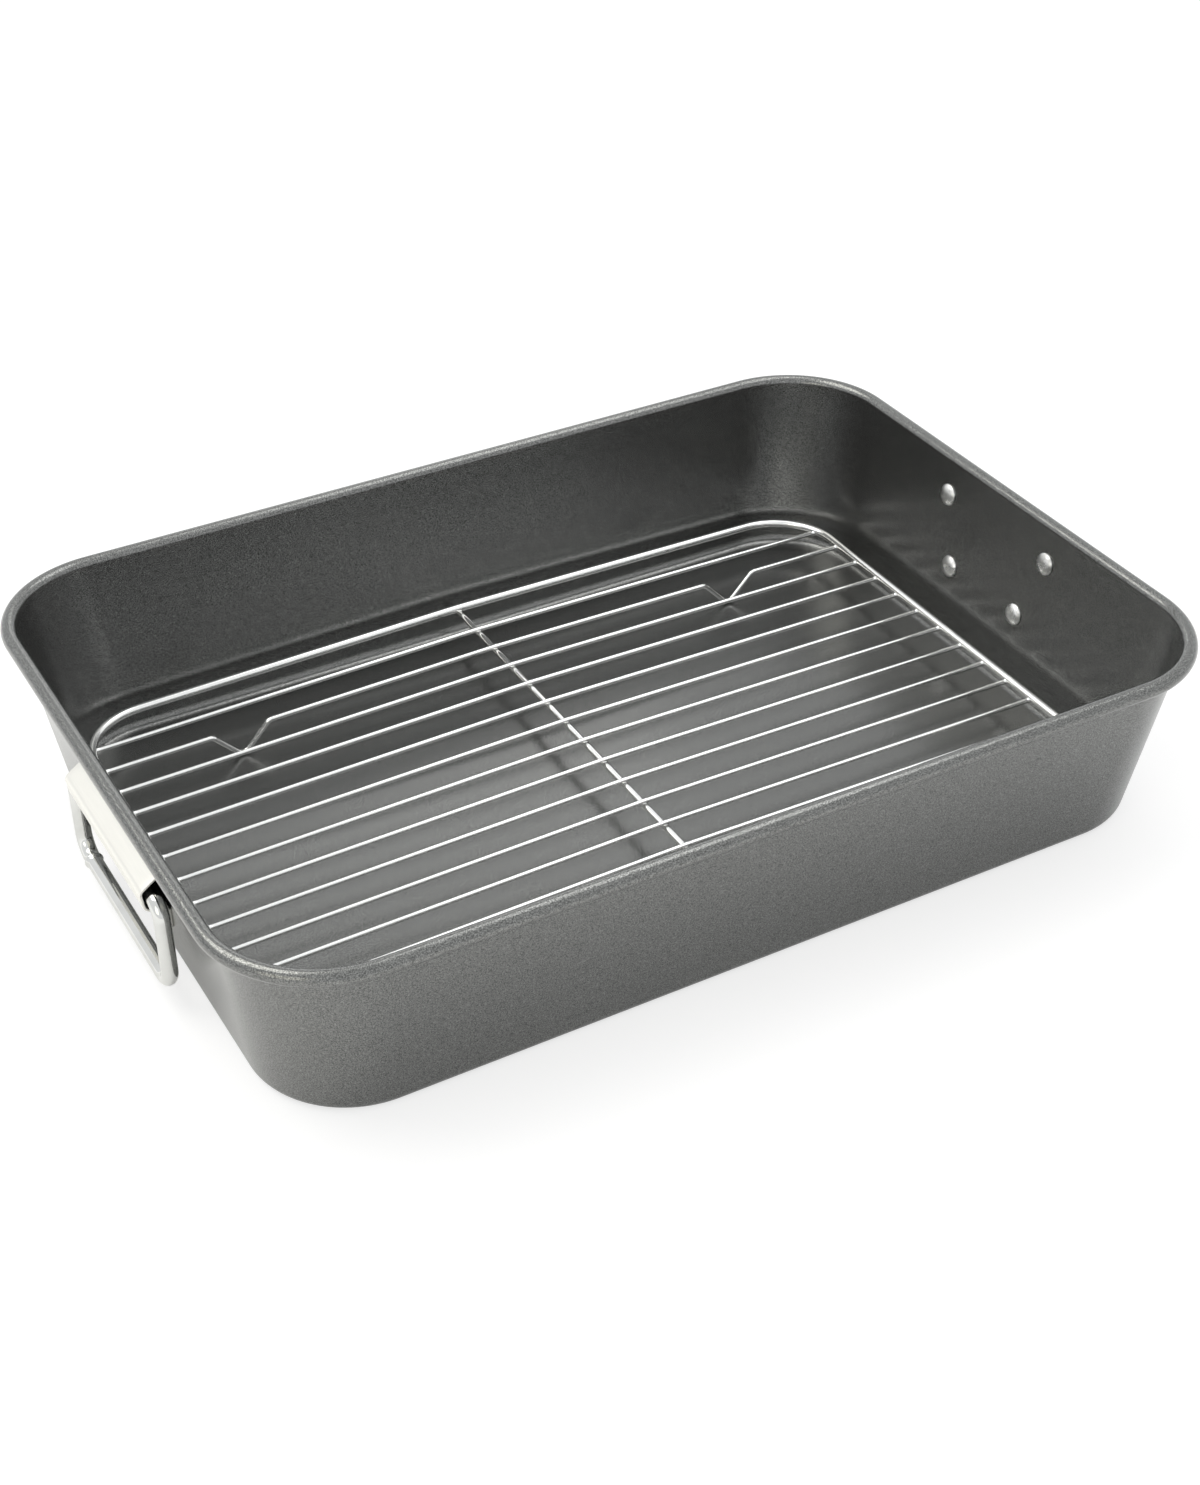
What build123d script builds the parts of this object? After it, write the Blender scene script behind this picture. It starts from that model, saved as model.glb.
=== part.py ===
"""Roasting pan with two folding bail handles and a lift-out wire rack.

Millimetres. X runs along the pan, Y across it and Z up from the surface it stands on.
The origin is the middle of the pan's underside.
"""
from build123d import *
from math import asin, atan, atan2, cos, hypot, sin, sqrt, tan
import os

os.makedirs("parts", exist_ok=True)

# One overrun serves every cut
OVERRUN = 5.0

# Pan: one pressed sheet with tapered walls and a rolled rim
RIM_LENGTH = 457.0
RIM_WIDTH = 326.0
RIM_CORNER_RADIUS = 53.5
PAN_HEIGHT = 88.0
SHEET = 1.0
WALL_SPREAD = 12.8
FOOT_CORNER_RADIUS = 44.0
FOOT_EDGE_RADIUS = 6.0
BEAD_DIAMETER = 7.0
RIM_WIRE_CLEARANCE = 0.1
CURL_SWEEP_DEGREES = 295.0

# Handle brackets: a stamped strap, riveted to each end wall, with a tunnel for the bail
STRAP_SHEET = 1.2
STRAP_HALF_WIDTH = 44.5
STRAP_FOOT_HALF_WIDTH = 35.0
STRAP_TOP_REACH = 20.0
STRAP_FOOT_REACH = 28.0
STRAP_CORNER_RADIUS = 4.0
TUNNEL_HALF_HEIGHT = 8.5
TUNNEL_LIP_HEIGHT = 8.2
TUNNEL_BEND_RADIUS = 2.4
BAIL_PLAY = 0.6
BAIL_WALL_PLAY = 1.4

# Bails: a closed loop of thick wire, hanging from its upper bar
BAIL_WIRE = 7.0
BAIL_HALF_WIDTH = 51.5
BAIL_DROP = 40.5
BAIL_UPPER_RADIUS = 6.5
BAIL_LOWER_RADIUS = 9.0
BAIL_HINGE_HEIGHT = 54.3
WELD_RING_RAISE = 0.7
WELD_RING_WIDTH = 3.0
WELD_RING_OFFSET = 41.0

# Rivets: four to each bracket, the lower pair closer together
RIVET_SHANK = 4.8
RIVET_HEAD = 10.6
RIVET_HEAD_HEIGHT = 2.4
RIVET_TAIL = 8.0
RIVET_TAIL_HEIGHT = 1.5
UPPER_RIVET_SPACING = 75.4
LOWER_RIVET_SPACING = 51.0
UPPER_RIVET_RISE = 14.6
LOWER_RIVET_DROP = 18.6

# Rack: a heavier frame wire, fine wires along it, one cross wire under its raised middle
RACK_LENGTH = 402.0
RACK_WIDTH = 278.0
RACK_CORNER_RADIUS = 34.0
FRAME_WIRE = 4.0
FINE_WIRE = 2.3
CROSS_WIRE = 3.2
FINE_WIRE_COUNT = 14
FRAME_TO_FINE_GAP = 21.0
RACK_STAND = 12.1
CREASE_RISE = 3.3
PLAIN_OUTER_WIRE_COUNT = 1
RACK_FOOT_OFFSET = 132.0
RACK_FOOT_HALF_SPREAD = 14.0
RACK_FOOT_BEND = 4.0
REST_GAP = 0.3
LAP_WELD_SINK = 0.15
BUTT_WELD_SINK = 0.35

# Pan, worked out
bead_radius = BEAD_DIAMETER / 2
bead_height = PAN_HEIGHT - bead_radius
wall_top_half_length = RIM_LENGTH / 2 - BEAD_DIAMETER + SHEET
wall_top_half_width = RIM_WIDTH / 2 - BEAD_DIAMETER + SHEET
wall_top_radius = RIM_CORNER_RADIUS - BEAD_DIAMETER + SHEET
wall_slope = WALL_SPREAD / bead_height
wall_tilt = atan(wall_slope)

# Handles, worked out
hinge_offset = BAIL_WIRE / 2 + BAIL_WALL_PLAY
tunnel_depth = hinge_offset + BAIL_WIRE / 2 + BAIL_PLAY
tunnel_lip_half_height = TUNNEL_LIP_HEIGHT / 2

# Rack, worked out
frame_half_length = (RACK_LENGTH - FRAME_WIRE) / 2
frame_half_width = (RACK_WIDTH - FRAME_WIRE) / 2
frame_corner_radius = RACK_CORNER_RADIUS - FRAME_WIRE / 2
crease_slope = CREASE_RISE / frame_half_length
fine_wire_pitch = 2 * (frame_half_width - FRAME_TO_FINE_GAP) / (FINE_WIRE_COUNT - 1)
crease_underside = SHEET + RACK_STAND + CREASE_RISE
footed_wires = (PLAIN_OUTER_WIRE_COUNT + 1, FINE_WIRE_COUNT - PLAIN_OUTER_WIRE_COUNT)


def wall_section(height, inset):
    """The wall's rounded outline at one height, drawn in from the outer face."""
    rise_share = height / bead_height
    spread = WALL_SPREAD * (1 - rise_share)
    radius = FOOT_CORNER_RADIUS + (wall_top_radius - FOOT_CORNER_RADIUS) * rise_share
    length = 2 * (wall_top_half_length - spread - inset)
    width = 2 * (wall_top_half_width - spread - inset)
    return Pos(0, 0, height) * RectangleRounded(length, width, radius - inset)


def tapered_block(bottom, top, inset, edge_radius):
    """The solid inside the wall's outline, with its lower edge rounded."""
    block = loft([wall_section(bottom, inset), wall_section(top, inset)], ruled=True)
    return fillet(block.edges().group_by(Axis.Z)[0], edge_radius)


def tube(path, diameter):
    """A round wire along a path."""
    start = Plane(origin=path @ 0, z_dir=path % 0)
    return sweep(start * Circle(diameter / 2), path=path)


def rim_path():
    """The middle line of the rolled rim."""
    outline = RectangleRounded(
        RIM_LENGTH - BEAD_DIAMETER,
        RIM_WIDTH - BEAD_DIAMETER,
        RIM_CORNER_RADIUS - bead_radius,
    )
    return (Pos(0, 0, bead_height) * outline).wire()


def rolled_rim():
    """The sheet's edge, curled outwards from the wall's top and round the rim wire."""
    path = rim_path()
    along = path % 0
    outward = along.cross(Vector(0, 0, 1))
    section_plane = Plane(origin=path @ 0, x_dir=outward, z_dir=along)
    inner_radius = bead_radius - SHEET
    outer_arc = CenterArc((0, 0), bead_radius, 180, CURL_SWEEP_DEGREES)
    inner_arc = CenterArc((0, 0), inner_radius, 180, CURL_SWEEP_DEGREES)
    edges = [outer_arc, Line(outer_arc @ 1, inner_arc @ 1), inner_arc, Line(inner_arc @ 0, outer_arc @ 0)]
    return sweep(section_plane * make_face(edges), path=path)


def wall_plane():
    """On the right end wall at hinge height: X across the pan, Y up the wall, Z outwards."""
    foot_half_length = wall_top_half_length - WALL_SPREAD
    origin = (foot_half_length + wall_slope * BAIL_HINGE_HEIGHT, 0, BAIL_HINGE_HEIGHT)
    return Plane(origin=origin, x_dir=(0, 1, 0), z_dir=(cos(wall_tilt), 0, -sin(wall_tilt)))


def hinge_point():
    """Where the bail's upper bar crosses the middle of the pan."""
    return wall_plane().from_local_coords(Vector(0, 0, hinge_offset))


def rivet_places():
    """The four rivets of a bracket, across the pan and up the wall from the hinge."""
    upper = [(side * UPPER_RIVET_SPACING / 2, UPPER_RIVET_RISE) for side in (-1, 1)]
    lower = [(side * LOWER_RIVET_SPACING / 2, -LOWER_RIVET_DROP) for side in (-1, 1)]
    return upper + lower


def rivet_holes():
    """The round holes for the shanks, through the wall and the bracket."""
    reach = SHEET + STRAP_SHEET + OVERRUN
    hole = Cylinder(RIVET_SHANK / 2, 2 * reach)
    return [wall_plane() * Pos(across, up, 0) * hole for across, up in rivet_places()]


def domed_head(diameter, height):
    """A shallow spherical cap standing on its flat face."""
    ball_radius = (diameter**2 / 4 + height**2) / (2 * height)
    ball = Pos(0, 0, height - ball_radius) * Sphere(ball_radius)
    return split(ball, bisect_by=Plane.XY, keep=Keep.TOP)


def rivet():
    """One rivet: its head inside the pan, its shank, and its flattened tail outside."""
    head = Pos(0, 0, -SHEET) * Rot(180, 0, 0) * domed_head(RIVET_HEAD, RIVET_HEAD_HEIGHT)
    tail = Pos(0, 0, STRAP_SHEET) * domed_head(RIVET_TAIL, RIVET_TAIL_HEIGHT)
    shank_length = SHEET + STRAP_SHEET
    shank = Pos(0, 0, -SHEET) * extrude(Circle(RIVET_SHANK / 2), shank_length)
    return head + shank + tail


def bracket():
    """The strap: a plate on the wall, pressed out into a tunnel over the bail's bar."""
    outline = Polyline(
        (-STRAP_HALF_WIDTH, STRAP_TOP_REACH),
        (STRAP_HALF_WIDTH, STRAP_TOP_REACH),
        (STRAP_HALF_WIDTH, -TUNNEL_HALF_HEIGHT),
        (STRAP_FOOT_HALF_WIDTH, -STRAP_FOOT_REACH),
        (-STRAP_FOOT_HALF_WIDTH, -STRAP_FOOT_REACH),
        (-STRAP_HALF_WIDTH, -TUNNEL_HALF_HEIGHT),
        close=True,
    )
    plate = extrude(make_face(outline), STRAP_SHEET)
    corners = plate.edges().filter_by(Axis.Z)
    plate = fillet(corners.group_by(Axis.Y)[0] + corners.group_by(Axis.Y)[-1], STRAP_CORNER_RADIUS)
    hollow = tunnel_prism(0, OVERRUN, STRAP_HALF_WIDTH + OVERRUN)
    cover = tunnel_prism(STRAP_SHEET, 0, STRAP_HALF_WIDTH)
    return plate + cover - hollow


def tunnel_prism(thickness, below, half_width):
    """A bar with the tunnel's section, sloping flanks and a flat lip, grown by a thickness."""
    flank = (TUNNEL_HALF_HEIGHT - tunnel_lip_half_height) / tunnel_depth
    depth = tunnel_depth + thickness
    foot = TUNNEL_HALF_HEIGHT + thickness * hypot(1, flank)
    lip = foot - flank * depth
    base = foot + flank * below
    section = Polyline((-below, base), (depth, lip), (depth, -lip), (-below, -base), close=True)
    across = Plane(origin=(0, 0, 0), x_dir=(0, 0, 1), z_dir=(1, 0, 0))
    bar = extrude(across * make_face(section), half_width, both=True)
    return fillet(bar.edges().filter_by(Axis.X).group_by(Axis.Z)[-1], TUNNEL_BEND_RADIUS + thickness)


def bail():
    """The closed handle loop, hanging straight down, with the ring of its butt weld."""
    bottom = -BAIL_DROP
    loop = FilletPolyline(
        (BAIL_HALF_WIDTH, bottom),
        (BAIL_HALF_WIDTH, 0),
        (-BAIL_HALF_WIDTH, 0),
        (-BAIL_HALF_WIDTH, bottom),
        radius=[BAIL_LOWER_RADIUS, BAIL_UPPER_RADIUS, BAIL_UPPER_RADIUS, BAIL_LOWER_RADIUS],
        close=True,
    )
    hanging = Plane(origin=hinge_point(), x_dir=(0, 1, 0), z_dir=(1, 0, 0))
    ring = Cylinder(BAIL_WIRE / 2 + WELD_RING_RAISE, WELD_RING_WIDTH)
    ring = fillet(ring.edges().filter_by(GeomType.CIRCLE), WELD_RING_RAISE)
    return hanging * (tube(loop, BAIL_WIRE) + Pos(-WELD_RING_OFFSET, bottom, 0) * Rot(0, 90, 0) * ring)


def both_halves(half):
    """One half of the rack, mitred at the crease and mirrored onto the other."""
    kept = split(half, bisect_by=Plane.YZ, keep=Keep.TOP)
    return kept + mirror(kept, about=Plane.YZ)


def crease_height(wire_diameter):
    """The middle of a wire whose underside lies in the rack's underside, at the crease."""
    return crease_underside + wire_diameter / 2


def rack_frame():
    """The frame wire: a rounded oblong, bent slightly at its middle."""
    slope_length = hypot(frame_half_length, CREASE_RISE)
    half_line = FilletPolyline(
        (-OVERRUN, frame_half_width),
        (slope_length, frame_half_width),
        (slope_length, -frame_half_width),
        (-OVERRUN, -frame_half_width),
        radius=frame_corner_radius,
    )
    origin = (0, 0, crease_height(FRAME_WIRE))
    half_plane = Plane(origin=origin, x_dir=(1, 0, -crease_slope), z_dir=(crease_slope, 0, 1))
    return both_halves(tube(half_plane * half_line, FRAME_WIRE))


def frame_inside(across):
    """How far along X the frame's middle line lies at one place across the rack."""
    past_straight = abs(across) - (frame_half_width - frame_corner_radius)
    if past_straight <= 0:
        return frame_half_length
    return frame_half_length - frame_corner_radius + sqrt(frame_corner_radius**2 - past_straight**2)


def fine_wire_end(across):
    """Where a fine wire ends: just inside the frame wire's inner face."""
    below_middle = (FRAME_WIRE - FINE_WIRE) / 2
    face = sqrt((FRAME_WIRE / 2) ** 2 - below_middle**2)
    return frame_inside(across) - face + BUTT_WELD_SINK


def foot_point_drop(depth):
    """How far the foot's sharp point lies below the wire, when its rounded tip has this depth."""
    reach = hypot(RACK_FOOT_HALF_SPREAD, RACK_FOOT_BEND - depth)
    lean = asin(RACK_FOOT_BEND / reach) - atan2(RACK_FOOT_BEND - depth, RACK_FOOT_HALF_SPREAD)
    return RACK_FOOT_HALF_SPREAD * tan(lean)


def fine_wire(number):
    """One wire along the rack, straight or dipping to a foot in each half."""
    across = frame_half_width - FRAME_TO_FINE_GAP - fine_wire_pitch * (number - 1)
    middle = crease_height(FINE_WIRE)
    end = fine_wire_end(across)

    def on_slope(along):
        return (along, middle - crease_slope * along)

    stations = [on_slope(-OVERRUN), on_slope(end)]
    if number in footed_wires:
        above_foot = on_slope(RACK_FOOT_OFFSET)[1]
        drop = foot_point_drop(above_foot - (SHEET + REST_GAP + FINE_WIRE / 2))
        stations[1:1] = [
            on_slope(RACK_FOOT_OFFSET - RACK_FOOT_HALF_SPREAD),
            (RACK_FOOT_OFFSET, above_foot - drop),
            on_slope(RACK_FOOT_OFFSET + RACK_FOOT_HALF_SPREAD),
        ]
        line = FilletPolyline(*stations, radius=RACK_FOOT_BEND)
    else:
        line = Line(*stations)
    upright = Plane(origin=(0, across, 0), x_dir=(1, 0, 0), z_dir=(0, -1, 0))
    return both_halves(tube(upright * line, FINE_WIRE))


def cross_wire():
    """The wire under the crease, lapping under both long sides of the frame."""
    length = RACK_WIDTH
    middle = crease_underside - CROSS_WIRE / 2 + LAP_WELD_SINK
    return Pos(0, 0, middle) * Rot(90, 0, 0) * Cylinder(CROSS_WIRE / 2, length)


def pan_shell():
    """The pressed sheet: floor, tapered walls and rolled rim, with its rivet holes."""
    outside = tapered_block(0, bead_height, 0, FOOT_EDGE_RADIUS)
    inside = tapered_block(SHEET, bead_height + OVERRUN, SHEET, FOOT_EDGE_RADIUS - SHEET)
    right_holes = rivet_holes()
    left_holes = [Rot(0, 0, 180) * hole for hole in right_holes]
    drilled = outside - (right_holes + left_holes)
    return drilled - inside + rolled_rim()


def save(node, shape):
    """Write one node's solids to its file."""
    shape.label = node
    export_step(shape, f"parts/{node}.step")


def main():
    save("pan_shell", pan_shell())
    save("rim_wire", tube(rim_path(), BEAD_DIAMETER - 2 * (SHEET + RIM_WIRE_CLEARANCE)))

    strap = wall_plane() * bracket()
    for hole in rivet_holes():
        strap -= hole
    rivets = [wall_plane() * Pos(across, up, 0) * rivet() for across, up in rivet_places()]
    for side, turn in (("right", 0), ("left", 180)):
        placed = Rot(0, 0, turn)
        save(f"{side}_handle_bracket", placed * strap)
        save(f"{side}_bail", placed * bail())
        save(f"{side}_rivets", Compound(children=[placed * one for one in rivets]))

    save("rack_frame", rack_frame())
    save("rack_cross_wire", cross_wire())
    for number in range(1, FINE_WIRE_COUNT + 1):
        save(f"rack_wire_{number:02d}", fine_wire(number))


main()
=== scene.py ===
"""A roasting pan with two folding bail handles and a lift-out wire rack, dressed for its portrait.

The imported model's frame is kept: X along the pan, Y across it, Z up from the surface it stands on.
The pan, handle and rack classes hold millimetres, as a maker writes them, and meshes are made in
metres. The finishes and the studio use metres throughout.
"""

import logging
import math
from dataclasses import dataclass
from enum import Enum

import bmesh
import bpy
import numpy as np
from mathutils import Matrix, Vector


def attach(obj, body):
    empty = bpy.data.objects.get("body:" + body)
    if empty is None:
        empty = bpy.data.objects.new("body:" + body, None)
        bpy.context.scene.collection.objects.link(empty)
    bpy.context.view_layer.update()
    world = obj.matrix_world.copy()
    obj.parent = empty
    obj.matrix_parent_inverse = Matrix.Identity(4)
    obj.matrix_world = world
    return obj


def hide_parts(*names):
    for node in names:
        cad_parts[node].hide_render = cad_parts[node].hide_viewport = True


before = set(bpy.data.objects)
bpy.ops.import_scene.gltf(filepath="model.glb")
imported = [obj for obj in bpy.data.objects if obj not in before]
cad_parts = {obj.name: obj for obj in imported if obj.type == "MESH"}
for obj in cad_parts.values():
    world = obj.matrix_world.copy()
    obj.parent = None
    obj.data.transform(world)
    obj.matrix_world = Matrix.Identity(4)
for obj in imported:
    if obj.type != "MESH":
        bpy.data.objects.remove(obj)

MM = 0.001
QUARTER_TURN = math.pi / 2
FULL_TURN = 2 * math.pi
log = logging.getLogger("roasting_pan")

# A cut wire's end: its chamfer and the flat face inside it, as shares of the wire's radius.
END_CHAMFER = 0.18
END_FACE = 0.82

# Rings whose distances agree to so many decimals of a millimetre are one.
WIRE_DECIMALS = 3
STRAP_DECIMALS = 4

# Points closer than this are one, and edges shorter than this go, in metres.
MERGE_DISTANCE = 2e-7
SHORTEST_EDGE = 1e-8

# The bails' plating and the rim's bare wire, where they differ from the rack's plating.
BAIL_TINT, BAIL_HAZE, BAIL_ROUGHNESS = (0.68, 0.685, 0.67), (0.6, 0.605, 0.59), (0.06, 0.12)
RIM_WIRE_TINT, RIM_WIRE_HAZE = (0.5, 0.5, 0.5), (0.42, 0.42, 0.42)
RIM_WIRE_ROUGHNESS = (0.3, 0.45)

# The noise textures' middle value, and the sockets of a Mix node that mixes colours.
NOISE_MIDDLE = 0.5
MIX_COLOUR_A, MIX_COLOUR_B, MIX_COLOUR_RESULT = 6, 7, 2

Array = np.ndarray
Colour = tuple[float, float, float]
Place = tuple[float, float, float]
Material = bpy.types.Material
Node = bpy.types.Node
NodeTree = bpy.types.NodeTree
Object = bpy.types.Object
Socket = bpy.types.NodeSocket


class End(Enum):
    """The two ends of the pan, with the sign that turns a right-hand part half round."""

    RIGHT = 1
    LEFT = -1

    @property
    def turn(self) -> Array:
        """What a right-hand part's coordinates are multiplied by."""
        return np.array([self.value, self.value, 1.0])


# Lines and surfaces


@dataclass(frozen=True)
class Route:
    """A wire's middle line: its points and the direction at each."""

    points: Array
    directions: Array
    closed: bool = False

    @property
    def runs(self) -> Array:
        """The distance along the line at which each point lies."""
        steps = np.linalg.norm(np.diff(self.points, axis=0), axis=1)
        return np.concatenate([[0.0], np.cumsum(steps)])

    def at(self, runs: Array) -> tuple[Array, Array]:
        """Points and unit directions at given distances, each coordinate read off in between.

        Args:
            runs: Distances along the line.

        Returns:
            The points and the directions, one row for each distance.
        """
        known = self.runs
        points = np.stack([np.interp(runs, known, self.points[:, k]) for k in range(3)], axis=1)
        ways = np.stack([np.interp(runs, known, self.directions[:, k]) for k in range(3)], axis=1)
        return points, unit(ways)


def unit(vectors: Array) -> Array:
    """Each row at length one."""
    return vectors / np.linalg.norm(vectors, axis=-1, keepdims=True)


def straight_route(begin: Place, end: Place) -> Route:
    """A straight line between two points."""
    points = np.array([begin, end])
    return Route(points, np.repeat(unit(points[1:] - points[:1]), 2, axis=0))


def bent_route(corners: Array, radii: Array, closed: bool, steps: int) -> Route:
    """A line through corners, each rounded by an arc.

    A corner between directions d1 and d2 that turns by t gets the arc
    a + r sin(w) d1 + r (1 - cos(w)) n for w from 0 to t, where a lies r tan(t / 2) before the
    corner and n is the unit vector at right angles to d1 on the side of d2.

    Args:
        corners: The corner points, one row each. An open line starts and ends at the outer two.
        radii: A bend radius for each corner, or for each inner corner of an open line.
        closed: Whether the last corner joins the first.
        steps: How many chords an arc has.

    Returns:
        The route, which ends at its first point again if it is closed.
    """
    before = np.roll(corners, 1, axis=0) if closed else corners[:-2]
    here = corners if closed else corners[1:-1]
    after = np.roll(corners, -1, axis=0) if closed else corners[2:]
    first, second = unit(here - before), unit(after - here)
    cosine = np.clip(np.sum(first * second, axis=1), -1.0, 1.0)
    turn = np.arccos(cosine)
    side = unit(second - first * cosine[:, None])
    begin = here - first * (radii * np.tan(turn / 2))[:, None]
    swing = np.linspace(0.0, 1.0, steps + 1)[None, :, None] * turn[:, None, None]
    ways = np.cos(swing) * first[:, None] + np.sin(swing) * side[:, None]
    shift = np.sin(swing) * first[:, None] + (1 - np.cos(swing)) * side[:, None]
    arcs = begin[:, None] + radii[:, None, None] * shift
    points, directions = arcs.reshape(-1, 3), ways.reshape(-1, 3)
    if closed:
        return Route(np.vstack([points, points[:1]]), np.vstack([directions, directions[:1]]), True)
    points = np.vstack([corners[:1], points, corners[-1:]])
    return Route(points, np.vstack([directions[:1], directions, directions[-1:]]))


def round_wire(
    route: Route, across: Place, radius: float, sides: int, extra: Array, swell: Array
) -> Array:
    """A round wire as a grid: a circle carried along the route.

    At distance s and angle w the point is p(s) + r(s) (cos(w) n + sin(w) b), where n and b are at
    right angles to the direction, b near the across vector. The radius r(s) is the wire's own,
    plus a bell of height h and half-width k round each swelling s0: h exp(-((s - s0) / k)^2).
    An open wire closes at each end through a small chamfer and a flat face.

    Args:
        route: The wire's middle line, in millimetres.
        across: The vector that the line lies flat to.
        radius: The wire's radius in millimetres.
        sides: How many facets the circle has.
        extra: More distances at which the wire gets a ring.
        swell: Rows of place, height and half-width, one for each weld.

    Returns:
        The grid of points, rings by sides.
    """
    total = route.runs[-1]
    runs = np.unique(np.concatenate([route.runs, extra]).clip(0, total).round(WIRE_DECIMALS))
    share = np.ones_like(runs)
    if not route.closed:
        chamfer = END_CHAMFER * radius
        inner = runs[(runs > chamfer) & (runs < total - chamfer)]
        runs = np.concatenate([[0, 0, chamfer], inner, [total - chamfer, total, total]])
        share = np.concatenate([[0, END_FACE, 1], np.ones_like(inner), [1, END_FACE, 0]])
    bells = swell[:, 1] * np.exp(-(((runs[:, None] - swell[:, 0]) / swell[:, 2]) ** 2))
    reach = (radius + bells.sum(axis=1)) * share
    points, ways = route.at(runs)
    beside = unit(np.cross(np.broadcast_to(across, ways.shape), ways))
    above = np.cross(ways, beside)
    angle = np.linspace(0.0, FULL_TURN, sides, endpoint=False)[None, :, None]
    ring = np.cos(angle) * beside[:, None] + np.sin(angle) * above[:, None]
    return points[:, None] + reach[:, None, None] * ring


def turned(profile: Array, sides: int) -> Array:
    """A shape of revolution about its own third axis.

    The point at angle w is (r cos(w), r sin(w), h) for each radius r and height h of the profile.

    Args:
        profile: Rows of radius and height, from pole to pole.
        sides: How many facets it has round its axis.

    Returns:
        The grid of points, profile by sides.
    """
    angle = np.linspace(0.0, FULL_TURN, sides, endpoint=False)
    radius, height = profile[:, :1], profile[:, 1:]
    level = height * np.ones_like(angle)
    return np.stack([radius * np.cos(angle), radius * np.sin(angle), level], axis=2)


def quads(rows: int, columns: int, loop: bool, start: int) -> Array:
    """The corner numbers of a grid's quads, the columns joined round.

    Quad (i, j) joins points (i, j), (i, j + 1), (i + 1, j + 1) and (i + 1, j), where column
    numbers are taken round the ring, and row numbers too if the grid is a loop.

    Args:
        rows: How many rings the grid has.
        columns: How many points a ring has.
        loop: Whether the last ring joins the first.
        start: The number of the grid's first point in the mesh.

    Returns:
        One row of four numbers for each quad.
    """
    lines = np.arange(rows if loop else rows - 1)
    i, j = np.meshgrid(lines, np.arange(columns), indexing="ij")
    below, beside = (i + 1) % rows, (j + 1) % columns
    faces = [i * columns + j, i * columns + beside, below * columns + beside, below * columns + j]
    return np.stack(faces, axis=2).reshape(-1, 4) + start


def solid(name: str, grids: list[Array], loop: bool, crease_degrees: float = 42.0) -> Object:
    """One piece made of closed grids: seams merged, faces turned outwards, shaded smooth.

    Args:
        name: The piece's name.
        grids: Grids of points in millimetres.
        loop: Whether each grid's last ring joins its first. Otherwise both end in a pole.
        crease_degrees: The angle past which an edge stays sharp.

    Returns:
        The new object, at the origin.
    """
    starts = np.concatenate([[0], np.cumsum([g.shape[0] * g.shape[1] for g in grids])])
    points = np.vstack([g.reshape(-1, 3) for g in grids]) * MM
    faces = np.vstack([quads(*g.shape[:2], loop, int(s)) for g, s in zip(grids, starts)])
    mesh = bpy.data.meshes.new(name)
    mesh.from_pydata(points.tolist(), [], faces.tolist())
    work = bmesh.new()
    work.from_mesh(mesh)
    bmesh.ops.remove_doubles(work, verts=work.verts, dist=MERGE_DISTANCE)
    bmesh.ops.dissolve_degenerate(work, edges=work.edges, dist=SHORTEST_EDGE)
    bmesh.ops.recalc_face_normals(work, faces=work.faces)
    work.to_mesh(mesh)
    work.free()
    mesh.shade_smooth()
    mesh.set_sharp_from_angle(angle=math.radians(crease_degrees))
    made = bpy.data.objects.new(name, mesh)
    bpy.context.scene.collection.objects.link(made)
    return made


def hand_over(piece: Object, finish: Material, body: str, slot: str, *nodes: str) -> None:
    """Dresses a piece and puts it in the place of its CAD nodes: it rides on their body.

    Args:
        piece: The new piece.
        finish: Its material.
        body: The body it moves with.
        slot: The record's material slot that its finish comes from. Not used.
        nodes: The CAD nodes that it stands for.
    """
    piece.data.materials.append(finish)
    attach(piece, body)
    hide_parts(*nodes)
    faces = len(piece.data.polygons)
    log.info("%s: %d faces, on %s, for %s", piece.name, faces, body, ", ".join(nodes))


# Finishes


def ranged(tree: NodeTree, value: Socket, low: float, high: float) -> Node:
    """A node that runs from low to high as the value runs from 0 to 1.

    Args:
        tree: The node tree it goes into.
        value: The value, from 0 to 1.
        low: What 0 becomes.
        high: What 1 becomes.

    Returns:
        The node, whose output is named Result.
    """
    node = tree.nodes.new("ShaderNodeMapRange")
    node.inputs["To Min"].default_value = low
    node.inputs["To Max"].default_value = high
    tree.links.new(value, node.inputs["Value"])
    return node


def set_values(node: Node, values: dict[str, float]) -> None:
    """Sets a node's named inputs, whose names have underscores here for spaces."""
    for label, value in values.items():
        node.inputs[label.replace("_", " ")].default_value = value


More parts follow.
